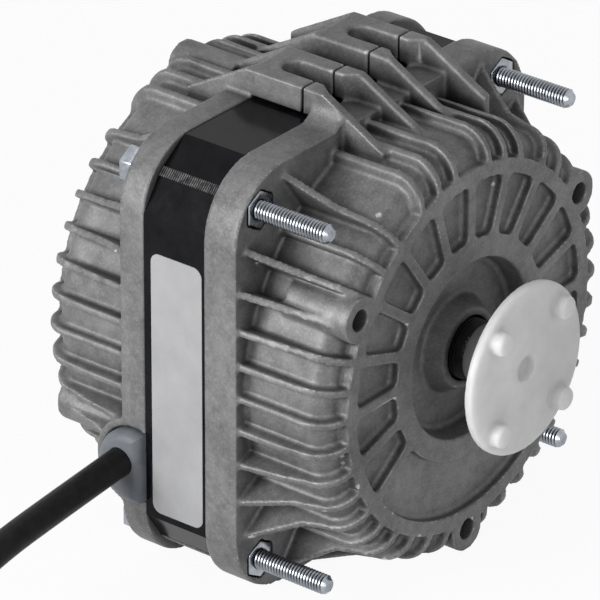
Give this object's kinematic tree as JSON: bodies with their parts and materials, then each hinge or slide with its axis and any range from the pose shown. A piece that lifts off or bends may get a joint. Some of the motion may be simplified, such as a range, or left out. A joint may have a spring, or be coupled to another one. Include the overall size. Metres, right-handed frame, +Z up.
{
  "type": "shaded-pole fan motor",
  "caption": "Square shaded-pole fan motor with finned die-cast housings, threaded corner studs, slotted feet, a cable and a disc adapter for the fan.",
  "frame": {"origin": "on the shaft's axis, in the front plane of the front flange, where the four corner studs leave their nuts", "axes": "-Y along the shaft towards the fan adapter; +Z up, towards the two slotted feet; -X towards the rating label and the cable"},
  "size_m": [0.227, 0.1003, 0.0957],
  "materials": {
    "casting": "matte",
    "stack_steel": "satin",
    "rotor_steel": "satin",
    "cage_aluminium": "satin",
    "shaft_steel": "satin",
    "zinc_steel": "satin",
    "copper": "satin",
    "sintered_bronze": "matte",
    "bobbin_plastic": "matte",
    "white_plastic": "satin",
    "gland_plastic": "satin",
    "felt": "matte",
    "black_rubber": "matte",
    "cable_jacket": "satin",
    "lead_insulation": "satin",
    "label_foil": "satin"
  },
  "bodies": {
    "stator": {"front_housing": "casting", "rear_housing": "casting", "stator_core": "stack_steel", "coil_bobbins": "bobbin_plastic", "stator_coils": "copper", "shading_rings": "copper", "front_bearing": "sintered_bronze", "rear_bearing": "sintered_bronze", "front_bearing_clip": "zinc_steel", "rear_bearing_clip": "zinc_steel", "front_oil_felt": "felt", "rear_oil_felt": "felt", "tie_studs": "zinc_steel", "front_nuts": "zinc_steel", "rear_nuts": "zinc_steel", "rating_label": "label_foil", "cable_gland": "gland_plastic", "power_cable": "cable_jacket", "cable_coil": "cable_jacket", "lead_wires": "lead_insulation", "crimp_sleeves": "zinc_steel", "earth_screw": "zinc_steel"},
    "rotor": {"rotor_core": "rotor_steel", "rotor_cage": "cage_aluminium", "rotor_shaft": "shaft_steel", "thrust_washers": "bobbin_plastic", "shaft_seal": "black_rubber", "fan_adapter": "white_plastic"}
  },
  "joints": [
    {"name": "rotor_spin", "type": "hinge", "parent": "stator", "child": "rotor", "pos_m": [0, 0, 0], "axis": [0, -1, 0], "continuous": true}
  ]
}
